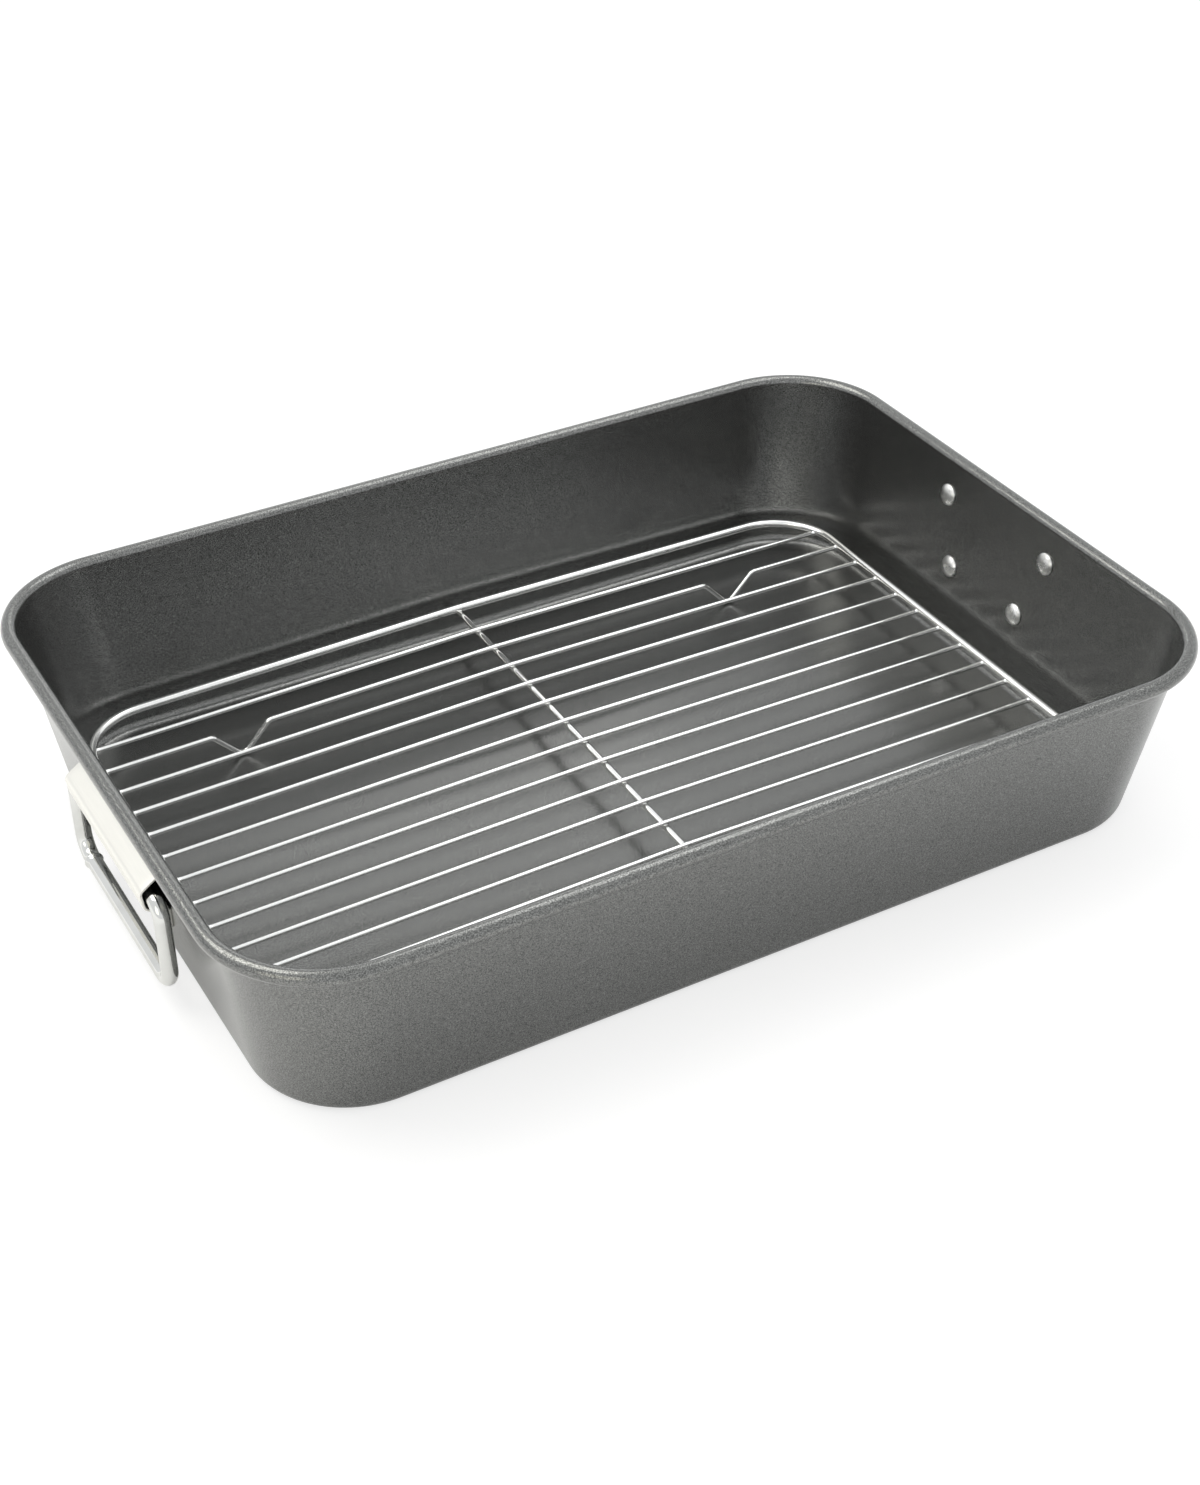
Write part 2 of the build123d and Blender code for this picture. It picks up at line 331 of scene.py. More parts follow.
class EffectLibrary:
    """The shader groups that several finishes share, each built once and placed by name."""

    flake_detail: float = 2.0
    flake_dust: float = 0.72
    grain_detail: float = 1.0
    smudge_detail: float = 4.0
    smudge_swirl: float = 0.6
    smudge_begins: float = 0.4

    def __init__(self) -> None:
        """Builds the groups."""
        self.flake = self.make_flake()
        self.grain = self.make_grain()
        self.smudge = self.make_smudge()

    @staticmethod
    def new_group(name: str, inputs: list[str], output: str) -> tuple[NodeTree, Node, Node]:
        """A shader group with a position input, named values and one named output.

        Args:
            name: The group's name.
            inputs: The names of the values that it takes.
            output: The name of the value that it puts out.

        Returns:
            The group, its input node and its output node.
        """
        group = bpy.data.node_groups.new(name, "ShaderNodeTree")
        group.interface.new_socket("Position", in_out="INPUT", socket_type="NodeSocketVector")
        for label in inputs:
            group.interface.new_socket(label, in_out="INPUT", socket_type="NodeSocketFloat")
        group.interface.new_socket(output, in_out="OUTPUT", socket_type="NodeSocketFloat")
        return group, group.nodes.new("NodeGroupInput"), group.nodes.new("NodeGroupOutput")

    @staticmethod
    def noise(group: NodeTree, source: Node, scale: str, detail: float) -> Node:
        """A noise texture at the group's position, as fine as the named input says.

        Args:
            group: The shader group.
            source: The group's input node.
            scale: The name of the input that gives the waves to the metre.
            detail: How many finer layers it has.

        Returns:
            The noise node.
        """
        node = group.nodes.new("ShaderNodeTexNoise")
        node.inputs["Detail"].default_value = detail
        group.links.new(source.outputs["Position"], node.inputs["Vector"])
        group.links.new(source.outputs[scale], node.inputs["Scale"])
        return node

    @staticmethod
    def from_middle(group: NodeTree, operation: str, value: Socket) -> Socket:
        """The noise's middle value with another added to it or taken from it.

        Args:
            group: The shader group.
            operation: ADD or SUBTRACT.
            value: The other value.

        Returns:
            The sum or the difference.
        """
        node = group.nodes.new("ShaderNodeMath")
        node.operation = operation
        node.inputs[0].default_value = NOISE_MIDDLE
        group.links.new(value, node.inputs[1])
        return node.outputs[0]

    def make_flake(self) -> NodeTree:
        """Metal flake in a coating: scattered bright specks over a finer dust of dim ones.

        Returns:
            The group, with a mask from 0 to 1.
        """
        group, source, sink = self.new_group("metal_flake", ["Density", "Sharpness"], "Mask")
        speck = self.noise(group, source, "Density", self.flake_detail)
        speck.inputs["Roughness"].default_value = self.flake_dust
        stretch = group.nodes.new("ShaderNodeMapRange")
        for operation, bound in (("SUBTRACT", "From Min"), ("ADD", "From Max")):
            edge = self.from_middle(group, operation, source.outputs["Sharpness"])
            group.links.new(edge, stretch.inputs[bound])
        group.links.new(speck.outputs["Fac"], stretch.inputs["Value"])
        group.links.new(stretch.outputs["Result"], sink.inputs["Mask"])
        return group

    def make_grain(self) -> NodeTree:
        """Fine relief: a soft ripple with a finer tooth on it, as a height from 0 to 1.

        Returns:
            The group, with a height.
        """
        labels = ["Ripple", "Tooth", "Tooth Share"]
        group, source, sink = self.new_group("surface_grain", labels, "Height")
        blend = group.nodes.new("ShaderNodeMix")
        for label, side in (("Ripple", "A"), ("Tooth", "B")):
            wave = self.noise(group, source, label, self.grain_detail)
            group.links.new(wave.outputs["Fac"], blend.inputs[side])
        group.links.new(source.outputs["Tooth Share"], blend.inputs["Factor"])
        group.links.new(blend.outputs["Result"], sink.inputs["Height"])
        return group

    def make_smudge(self) -> NodeTree:
        """Handling marks: broad, soft-edged patches as a mask from 0 to 1.

        Returns:
            The group, with a mask.
        """
        group, source, sink = self.new_group("handling_smudge", ["Breadth", "Edge"], "Mask")
        patch = self.noise(group, source, "Breadth", self.smudge_detail)
        patch.inputs["Distortion"].default_value = self.smudge_swirl
        stretch = group.nodes.new("ShaderNodeMapRange")
        stretch.inputs["From Min"].default_value = self.smudge_begins
        edge = self.from_middle(group, "ADD", source.outputs["Edge"])
        group.links.new(edge, stretch.inputs["From Max"])
        group.links.new(patch.outputs["Fac"], stretch.inputs["Value"])
        group.links.new(stretch.outputs["Result"], sink.inputs["Mask"])
        return group


@dataclass(frozen=True)
class Grain:
    """A finish's fine relief: two wave numbers to the metre, the finer one's share, the depth."""

    ripple: float
    tooth: float
    tooth_share: float
    depth: float
    strength: float


@dataclass(frozen=True)
class Smudge:
    """A finish's handling marks: patches to the metre, and how soft their edges are."""

    breadth: float
    edge: float


class FinishBench:
    """A material under work, with the few joints that every finish needs."""

    def __init__(self, name: str, effects: EffectLibrary) -> None:
        """Opens a new material with its shader and the piece's own coordinates.

        Args:
            name: The material's name.
            effects: The shared shader groups.
        """
        self.effects = effects
        self.material = bpy.data.materials.new(name)
        self.material.use_nodes = True
        self.nodes = self.material.node_tree.nodes
        self.links = self.material.node_tree.links
        self.shader = self.nodes["Principled BSDF"]
        self.place = self.nodes.new("ShaderNodeTexCoord").outputs["Object"]

    def effect(self, group: NodeTree, place: Socket, **values: float) -> Socket:
        """Places a shared group and returns its output.

        Args:
            group: The shader group.
            place: The position that it reads.
            values: Values for its named inputs, with underscores for spaces.

        Returns:
            The output socket.
        """
        node = self.nodes.new("ShaderNodeGroup")
        node.node_tree = group
        self.links.new(place, node.inputs["Position"])
        set_values(node, values)
        return node.outputs[0]

    def smudged(self, smudge: Smudge) -> Socket:
        """The mask of a finish's handling marks."""
        values = {"Breadth": smudge.breadth, "Edge": smudge.edge}
        return self.effect(self.effects.smudge, self.place, **values)

    def plain(self, **values: float) -> None:
        """Sets shader numbers that are the same all over, with underscores for spaces."""
        set_values(self.shader, values)

    def ramp(self, value: Socket, low: float, high: float) -> None:
        """Feeds a roughness that runs from low to high as the value runs from 0 to 1."""
        node = ranged(self.material.node_tree, value, low, high)
        self.links.new(node.outputs["Result"], self.shader.inputs["Roughness"])

    def paint(self, value: Socket, low: Colour, high: Colour) -> None:
        """Feeds a base colour that runs from low to high as the value runs from 0 to 1.

        Args:
            value: The value, from 0 to 1.
            low: The colour at 0.
            high: The colour at 1.
        """
        node = self.nodes.new("ShaderNodeMix")
        node.data_type = "RGBA"
        self.links.new(value, node.inputs["Factor"])
        node.inputs[MIX_COLOUR_A].default_value = (*low, 1.0)
        node.inputs[MIX_COLOUR_B].default_value = (*high, 1.0)
        self.links.new(node.outputs[MIX_COLOUR_RESULT], self.shader.inputs["Base Color"])

    def relief(self, grain: Grain, place: Socket) -> Socket:
        """Feeds the shader's normal from a grain and returns the grain's height.

        Args:
            grain: The relief, its depth in metres.
            place: The position that it reads.

        Returns:
            The height, from 0 to 1.
        """
        waves = {"Ripple": grain.ripple, "Tooth": grain.tooth, "Tooth_Share": grain.tooth_share}
        height = self.effect(self.effects.grain, place, **waves)
        node = self.nodes.new("ShaderNodeBump")
        node.inputs["Distance"].default_value = grain.depth
        node.inputs["Strength"].default_value = grain.strength
        self.links.new(height, node.inputs["Height"])
        self.links.new(node.outputs["Normal"], self.shader.inputs["Normal"])
        return height


@dataclass(frozen=True)
class CoatedSteelFinish:
    """Dark grey non-stick coating: satin, with metal flake and a faint orange peel."""

    dark: Colour = (0.07, 0.072, 0.07)
    light: Colour = (0.262, 0.265, 0.258)
    flake_density: float = 1900.0
    flake_sharpness: float = 0.14
    metallic: float = 0.94
    roughness: float = 0.265
    coat_weight: float = 0.4
    coat_roughness: float = 0.16
    peel: Grain = Grain(700.0, 2600.0, 0.55, 0.00001, 0.2)

    def make(self, effects: EffectLibrary) -> Material:
        """The material.

        Args:
            effects: The shared shader groups.

        Returns:
            The coating as a node material.
        """
        bench = FinishBench("coated_steel", effects)
        values = {"Density": self.flake_density, "Sharpness": self.flake_sharpness}
        flake = bench.effect(effects.flake, bench.place, **values)
        bench.paint(flake, self.dark, self.light)
        bench.plain(Metallic=self.metallic, Roughness=self.roughness)
        bench.plain(Coat_Weight=self.coat_weight, Coat_Roughness=self.coat_roughness)
        bench.relief(self.peel, bench.place)
        return bench.material


@dataclass(frozen=True)
class PlatedWireFinish:
    """Bright wire: mirror-like where it is plated, with fine relief and hazy patches."""

    name: str
    tint: Colour = (0.88, 0.88, 0.87)
    haze: Colour = (0.8, 0.805, 0.8)
    roughness_low: float = 0.1
    roughness_high: float = 0.2
    patches: Smudge = Smudge(60.0, 0.25)
    grain: Grain = Grain(500.0, 2400.0, 0.4, 0.00001, 0.25)

    def make(self, effects: EffectLibrary) -> Material:
        """The material.

        Args:
            effects: The shared shader groups.

        Returns:
            The plating as a node material.
        """
        bench = FinishBench(self.name, effects)
        smudge = bench.smudged(self.patches)
        bench.paint(smudge, self.tint, self.haze)
        bench.ramp(smudge, self.roughness_low, self.roughness_high)
        bench.plain(Metallic=1.0)
        bench.relief(self.grain, bench.place)
        return bench.material


@dataclass(frozen=True)
class BrushedSheetFinish:
    """Stamped stainless sheet: warm silver, with brushed lines drawn out across the pan."""

    tint: Colour = (0.83, 0.82, 0.775)
    line: Colour = (0.75, 0.74, 0.7)
    roughness_low: float = 0.34
    roughness_high: float = 0.46
    stretch: Place = (1.0, 0.03, 1.0)
    brushing: Grain = Grain(1500.0, 5200.0, 0.5, 0.00002, 0.3)

    def make(self, effects: EffectLibrary) -> Material:
        """The material.

        Args:
            effects: The shared shader groups.

        Returns:
            The brushed sheet as a node material.
        """
        bench = FinishBench("stainless", effects)
        drawn_out = bench.nodes.new("ShaderNodeMapping")
        drawn_out.inputs["Scale"].default_value = self.stretch
        bench.links.new(bench.place, drawn_out.inputs["Vector"])
        lines = bench.relief(self.brushing, drawn_out.outputs["Vector"])
        bench.paint(lines, self.line, self.tint)
        bench.ramp(lines, self.roughness_low, self.roughness_high)
        bench.plain(Metallic=1.0)
        return bench.material


@dataclass(frozen=True)
class FormedRivetFinish:
    """Aluminium rivet heads: satin silver, dimpled and smutted where the set struck them."""

    bright: Colour = (0.83, 0.83, 0.82)
    dull: Colour = (0.5, 0.5, 0.49)
    roughness_low: float = 0.25
    roughness_high: float = 0.45
    smut: Smudge = Smudge(260.0, 0.16)
    dimples: Grain = Grain(420.0, 1700.0, 0.35, 0.0003, 0.5)

    def make(self, effects: EffectLibrary) -> Material:
        """The material.

        Args:
            effects: The shared shader groups.

        Returns:
            The rivet metal as a node material.
        """
        bench = FinishBench("rivet_aluminium", effects)
        smut = bench.smudged(self.smut)
        bench.paint(smut, self.bright, self.dull)
        bench.ramp(smut, self.roughness_low, self.roughness_high)
        bench.plain(Metallic=1.0)
        bench.relief(self.dimples, bench.place)
        return bench.material


# The pan


@dataclass(frozen=True)
class Pan:
    """The pressed sheet with its tapered walls, coved floor and rolled rim, and the rim's wire."""

    foot_half_length: float = 209.7
    foot_half_width: float = 144.2
    foot_corner: float = 44.0
    corner_growth: float = 3.5
    wall_spread: float = 12.8
    bead_height: float = 84.5
    bead_out: float = 15.3
    bead_radius: float = 3.49
    sheet: float = 1.0
    edge_radius: float = 6.0
    bead_begin_degrees: float = 180.0
    curl_end_degrees: float = -115.0
    rim_wire_radius: float = 2.4
    rim_wire_sides: int = 16
    corner_steps: int = 28
    long_steps: int = 14
    short_steps: int = 10
    cove_steps: int = 16
    wall_steps: int = 9
    roll_steps: int = 40
    back_steps: int = 24
    floor_shares: tuple[float, ...] = (0.0, 0.15, 0.35, 0.55, 0.75, 0.9, 0.97, 0.992)
    crease_degrees: float = 50.0

    def stations(self) -> tuple[Array, Array, Array, Array]:
        """Places round a rounded oblong: the signs of the corner's centre, and the angle.

        On a corner the angle turns by a quarter; on a straight run the centre's sign goes from
        one corner's to the next while the angle stays.

        Returns:
            Sign along X, sign along Y, and the angle's cosine and sine.
        """
        signs = np.array([(1, 1), (-1, 1), (-1, -1), (1, -1), (1, 1)], float)
        arc = np.linspace(0.0, 1.0, self.corner_steps + 1)
        centres, angles = [], []
        for k in range(4):
            here, after = signs[k], signs[k + 1]
            run = np.linspace(0.0, 1.0, (self.long_steps, self.short_steps)[k % 2] + 1)[1:-1, None]
            centres += [np.tile(here, (len(arc), 1)), here * (1 - run) + after * run]
            angles += [(k + arc) * QUARTER_TURN, np.full(len(run), (k + 1) * QUARTER_TURN)]
        centre, angle = np.vstack(centres), np.concatenate(angles)
        return centre[:, 0], centre[:, 1], np.cos(angle), np.sin(angle)

    def rings(self, out: Array, height: Array, share: Array) -> Array:
        """Rings of the pan for places on its profile.

        A ring at height z, out by n from the foot line, is a rounded oblong with half sizes
        foot + n and corner radius foot corner + growth z / bead height + n - spread z / bead
        height, all times the share, which shrinks the floor's rings to its middle. A station is
        x = sx (a - r) + r cos(w), y = sy (b - r) + r sin(w).

        Args:
            out: How far out from the foot line each ring lies.
            height: The height of each ring.
            share: The ring's share of its full size.

        Returns:
            The grid of points, rings by stations.
        """
        sign_x, sign_y, cosine, sine = self.stations()
        rise = np.minimum(height, self.bead_height) / self.bead_height
        radius = self.foot_corner + self.corner_growth * rise + out - self.wall_spread * rise
        radius = (radius * share)[:, None]
        length = ((self.foot_half_length + out) * share)[:, None]
        width = ((self.foot_half_width + out) * share)[:, None]
        x = sign_x * (length - radius) + radius * cosine
        y = sign_y * (width - radius) + radius * sine
        return np.stack([x, y, np.broadcast_to(height[:, None], x.shape)], axis=2)

    def cove(self, radius: float, inset: float) -> Array:
        """The arc between floor and wall: tangent to both, from the floor up to the wall.

        With the wall's tilt t, its centre lies above the floor by the radius and in from the
        wall's line, and the arc runs from straight down to the angle -t.

        Args:
            radius: The arc's radius.
            inset: How far in from the pan's outer face it lies.

        Returns:
            A row of places out from the foot line and a row of heights.
        """
        tilt = math.atan(self.wall_spread / self.bead_height)
        high = inset + radius
        centre = -inset + (high * math.sin(tilt) - radius) / math.cos(tilt)
        angle = np.linspace(-QUARTER_TURN, -tilt, self.cove_steps + 1)
        return np.stack([centre + radius * np.cos(angle), high + radius * np.sin(angle)])

    def bead_arc(self, radius: float, angle: Array) -> Array:
        """An arc about the bead's middle, as two rows. The angles are from straight outwards."""
        out, high = radius * np.cos(angle), radius * np.sin(angle)
        return np.stack([self.bead_out + out, self.bead_height + high])

    def wall(self, begin: Array, end: Array) -> Array:
        """The places between two points of the profile, as two rows without the points."""
        share = np.linspace(0.0, 1.0, self.wall_steps + 1)[1:-1]
        return begin[:, None] + (end - begin)[:, None] * share

    def sheet_profile(self) -> tuple[Array, Array, Array]:
        """The whole profile: along the floor, up, round the bead, down and back underneath.

        Returns:
            Places out from the foot line, heights, and shares of full size.
        """
        sheet, bead = self.sheet, self.bead_radius
        inner = self.cove(self.edge_radius - sheet, sheet)
        outer = self.cove(self.edge_radius, 0.0)[:, ::-1]
        begin, end = self.bead_begin_degrees, self.curl_end_degrees
        roll = self.bead_arc(bead, np.radians(np.linspace(begin, end, self.roll_steps + 1)))
        back = self.bead_arc(bead - sheet, np.radians(np.linspace(end, begin, self.back_steps + 1)))
        floor = np.array(self.floor_shares)
        top = np.tile([[inner[0, 0]], [sheet]], len(floor))
        underside = np.tile([[outer[0, -1]], [0.0]], len(floor))
        inner_wall = self.wall(inner[:, -1], roll[:, 0])
        outer_wall = self.wall(back[:, -1], outer[:, 0])
        body = np.hstack([inner, inner_wall, roll, back, outer_wall, outer])
        out, high = np.hstack([top, body, underside])
        return out, high, np.concatenate([floor, np.ones(body.shape[1]), floor[::-1]])

    def rim_wire_profile(self) -> tuple[Array, Array, Array]:
        """The circle of the wire inside the bead, in the form of the sheet's profile.

        Returns:
            Places out from the foot line, heights, and shares of full size.
        """
        angle = np.linspace(0.0, FULL_TURN, self.rim_wire_sides, endpoint=False)
        out, high = self.bead_arc(self.rim_wire_radius, angle)
        return out, high, np.ones(self.rim_wire_sides)

    def build(self, coating: Material, steel: Material) -> None:
        """Makes the sheet and the wire inside its rim.

        Args:
            coating: The pan's finish.
            steel: The hidden rim wire's finish.
        """
        profile = self.rings(*self.sheet_profile())
        shell = solid("roasting_pan_shell", [profile], False, self.crease_degrees)
        hand_over(shell, coating, "pan", "coated_steel", "pan_shell")
        wire = solid("rolled_rim_wire", [self.rings(*self.rim_wire_profile())], True)
        hand_over(wire, steel, "pan", "wire_steel", "rim_wire")


# The handles


@dataclass(frozen=True)
class Handle:
    """One end's bracket, rivets and folding bail."""

    wall_foot: float = Pan.foot_half_length
    wall_slope: float = Pan.wall_spread / Pan.bead_height
    wall_sheet: float = Pan.sheet
    hinge_height: float = 54.3
    strap_sheet: float = 1.2
    strap_half_width: float = 44.5
    strap_foot_half_width: float = 35.0
    strap_top: float = 20.0
    strap_foot: float = 28.0
    strap_corner: float = 4.0
    strap_bend_steps: int = 10
    strap_corner_steps: int = 8
    strap_columns: int = 25
    strap_rings: tuple[float, ...] = (9.0, 14.0)
    strap_crease_degrees: float = 60.0
    edge_round: float = 0.32
    edge_steps: int = 4
    tunnel_half_height: float = 8.875
    tunnel_lip_half_height: float = 4.475
    tunnel_out: float = 9.6
    tunnel_foot_bend: float = 1.9
    tunnel_lip_bend: float = 3.0
    bail_radius: float = 3.5
    bail_half_width: float = 51.5
    bail_drop: float = 40.5
    bail_upper_bend: float = 6.5
    bail_lower_bend: float = 9.0
    bail_bend_steps: int = 14
    bail_sides: int = 32
    hinge_out: float = 4.9
    weld_offset: float = 41.0
    weld_raise: float = 0.66
    weld_half_width: float = 1.125
    weld_reach: float = 3.3
    weld_rings: int = 15
    rivet_head_radius: float = 5.3
    rivet_head_height: float = 2.4
    rivet_head_skirt: float = 0.45
    rivet_head_round: float = 0.12
    rivet_tail_radius: float = 4.0
    rivet_tail_height: float = 1.5
    rivet_tail_skirt: float = 0.35
    rivet_tail_round: float = 0.1
    rivet_shank_radius: float = 2.35
    rivet_dome_power: float = 2.3
    rivet_dome_fullness: float = 0.8
    rivet_dome_steps: int = 14
    rivet_sides: int = 40
    rivet_crease_degrees: float = 50.0
    upper_rivet_half_spacing: float = 37.7
    lower_rivet_half_spacing: float = 25.5
    upper_rivet_rise: float = 14.6
    lower_rivet_drop: float = 18.6

    @property
    def tilt(self) -> float:
        """How far the wall leans out."""
        return math.atan(self.wall_slope)

    def on_wall(self, local: Array, end: End) -> Array:
        """Points given across the pan, up the wall and out from it, in the pan's frame.

        Args:
            local: Points whose coordinates are across, up and out, from the hinge's height.
            end: The end of the pan, where the left is the right turned half round.

        Returns:
            The points in the pan's frame.
        """
        away = self.wall_foot + self.wall_slope * self.hinge_height
        origin = np.array([away, 0.0, self.hinge_height])
        across = np.array([0.0, 1.0, 0.0])
        up = np.array([math.sin(self.tilt), 0.0, math.cos(self.tilt)])
        out = np.array([math.cos(self.tilt), 0.0, -math.sin(self.tilt)])
        placed = origin + local[..., :1] * across + local[..., 1:2] * up + local[..., 2:] * out
        return placed * end.turn

    def half_width_at(self, up: Array) -> Array:
        """The strap's half-width at a height: full, tapering below the tunnel, round at corners.

        Args:
            up: Heights up the wall from the hinge's.

        Returns:
            The half-width at each.
        """
        taper = self.strap_half_width - self.strap_foot_half_width
        below = (-up - self.tunnel_half_height) / (self.strap_foot - self.tunnel_half_height)
        plain = self.strap_half_width - taper * np.clip(below, 0, 1)
        top = np.clip(up - (self.strap_top - self.strap_corner), 0, self.strap_corner)
        foot = np.clip(-up - (self.strap_foot - self.strap_corner), 0, self.strap_corner)
        reach = self.strap_corner - np.sqrt(self.strap_corner**2 - np.maximum(top, foot) ** 2)
        return plain - reach

    def strap_route(self) -> Route:
        """The strap's pressed middle line: up the wall, out over the bail's bar and back.

        Returns:
            The route, in coordinates across, up and out.
        """
        half = self.strap_sheet / 2
        foot_up, lip_up = self.tunnel_half_height, self.tunnel_lip_half_height
        corners = [(-self.strap_foot, half), (-foot_up, half), (-lip_up, self.tunnel_out)]
        corners += [(lip_up, self.tunnel_out), (foot_up, half), (self.strap_top, half)]
        foot_bend, lip_bend = self.tunnel_foot_bend, self.tunnel_lip_bend
        bends = np.array([foot_bend, lip_bend, lip_bend, foot_bend])
        line = np.array([(0.0, up, out) for up, out in corners])
        return bent_route(line, bends, False, self.strap_bend_steps)

    def strap(self) -> Array:
        """The strap as a grid: a thin rounded oblong section carried along its pressed line.

        At distance s along the line the section reaches the half-width across, and half the sheet
        to each side of the line, with its long edges rounded. Both shrink over the edge's
        rounding at the two ends.

        Returns:
            The grid of points: across, up and out.
        """
        route = self.strap_route()
        total = route.runs[-1]
        swing = np.sin(np.linspace(0.0, QUARTER_TURN, self.strap_corner_steps + 1))
        bend = np.linspace(0.0, QUARTER_TURN, self.edge_steps + 1)
        ends = self.edge_round * (1 - np.cos(bend))
        near = np.concatenate([ends, self.strap_corner * (1 - swing[:-1]), self.strap_rings])
        runs = np.concatenate([route.runs[1:-1], near, total - near])
        runs = np.concatenate([[0.0], np.unique(runs.round(STRAP_DECIMALS)), [total]])
        points, ways = route.at(runs)
        to_end = np.minimum(runs, total - runs)
        dip = np.clip(self.edge_round - to_end, 0, self.edge_round)
        thin = self.strap_sheet / 2 - self.edge_round + np.sqrt(self.edge_round**2 - dip**2)
        thin[[0, -1]] = 0.0
        thin, wide = thin[:, None], self.half_width_at(points[:, 1])[:, None]
        rim = np.minimum(self.edge_round, thin)
        run = np.linspace(-1.0, 1.0, self.strap_columns)
        level = np.ones_like(run)
        beside, beyond = 1 - np.sin(bend)[1:], 1 - np.cos(bend)[1:]
        across, depth = [], []
        for sign in (1, -1):
            across += [sign * (wide - rim) * run, sign * (wide - rim * beside)]
            depth += [sign * thin * level, sign * (thin - rim * beyond)]
            across.append(sign * (wide - rim * beside[::-1]))
            depth.append(-sign * (thin - rim * beyond[::-1]))
        outwards = np.stack([np.zeros(len(runs)), -ways[:, 2], ways[:, 1]], axis=1)
        grid = points[:, None] + np.hstack(depth)[..., None] * outwards[:, None]
        grid[..., 0] += np.hstack(across)
        return grid

    def bail(self, end: End) -> Array:
        """The closed loop of wire, hanging from its upper bar, with the collar of its butt weld.

        Args:
            end: The end of the pan it hangs from.

        Returns:
            The grid of points.
        """
        away = self.wall_foot + self.wall_slope * self.hinge_height
        away += self.hinge_out * math.cos(self.tilt)
        high = self.hinge_height - self.hinge_out * math.sin(self.tilt)
        wide, low = self.bail_half_width, high - self.bail_drop
        corners = [(away, wide, high), (away, wide, low), (away, -wide, low), (away, -wide, high)]
        upper, lower = self.bail_upper_bend, self.bail_lower_bend
        bends = np.array([upper, lower, lower, upper])
        route = bent_route(np.array(corners), bends, True, self.bail_bend_steps)
        third_corner = route.runs[len(route.points) // 2]
        weld = third_corner - (wide - lower - self.weld_offset)
        rings = weld + np.linspace(-self.weld_reach, self.weld_reach, self.weld_rings)
        swell = np.array([(weld, self.weld_raise, self.weld_half_width)])
        grid = round_wire(route, (1.0, 0.0, 0.0), self.bail_radius, self.bail_sides, rings, swell)
        return grid[:-1] * end.turn

    def rivet_profile(self) -> Array:
        """A rivet's outline from the head's pole, inside the pan, to the tail's, outside.

        The head rises from a short skirt as h = skirt + rest (1 - (r / R)^p)^q, and the tail
        is a flatter dome of the same kind.

        Returns:
            Rows of radius and distance out from the wall's outer face.
        """
        share = np.sin(np.linspace(0.0, QUARTER_TURN, self.rivet_dome_steps + 1))
        rise = (1 - share**self.rivet_dome_power) ** self.rivet_dome_fullness
        inside, outside = -self.wall_sheet, self.strap_sheet
        head_high = self.rivet_head_skirt + (self.rivet_head_height - self.rivet_head_skirt) * rise
        tail_high = self.rivet_tail_skirt + (self.rivet_tail_height - self.rivet_tail_skirt) * rise
        head = np.stack([self.rivet_head_radius * share, inside - head_high], axis=1)
        tail = np.stack([self.rivet_tail_radius * share, outside + tail_high], axis=1)
        head_round, tail_round = self.rivet_head_round, self.rivet_tail_round
        middle = [
            (self.rivet_head_radius, inside - head_round),
            (self.rivet_head_radius - head_round, inside),
            (self.rivet_shank_radius, inside + tail_round),
            (self.rivet_shank_radius, outside - tail_round),
            (self.rivet_tail_radius - tail_round, outside),
            (self.rivet_tail_radius, outside + tail_round),
        ]
        return np.vstack([head, middle, tail[::-1]])

    def rivets(self, end: End) -> list[Array]:
        """The four rivets of one bracket, the lower pair closer together.

        Args:
            end: The end of the pan.

        Returns:
            A grid of points for each rivet.
        """
        upper, lower = self.upper_rivet_half_spacing, self.lower_rivet_half_spacing
        places = [(side * upper, self.upper_rivet_rise) for side in (-1, 1)]
        places += [(side * lower, -self.lower_rivet_drop) for side in (-1, 1)]
        one = turned(self.rivet_profile(), self.rivet_sides)
        return [self.on_wall(one + np.array([across, up, 0.0]), end) for across, up in places]

    def build(self, end: End, sheet: Material, chrome: Material, rivet: Material) -> None:
        """Makes the bracket, the rivets and the bail of one end.

        Args:
            end: Which end of the pan.
            sheet: The bracket's finish.
            chrome: The bail's finish.
            rivet: The rivets' finish.
        """
        word = end.name.lower()
        plate = self.on_wall(self.strap(), end)
        strap = solid(f"{word}_bracket_strap", [plate], False, self.strap_crease_degrees)
        hand_over(strap, sheet, "pan", "stainless", f"{word}_handle_bracket")
        studs = solid(f"{word}_bracket_rivets", self.rivets(end), False, self.rivet_crease_degrees)
        hand_over(studs, rivet, "pan", "rivet_aluminium", f"{word}_rivets")
        loop = solid(f"{word}_bail_loop", [self.bail(end)], True)
        hand_over(loop, chrome, f"{word}_bail", "bail_chrome", f"{word}_bail")


# The rack


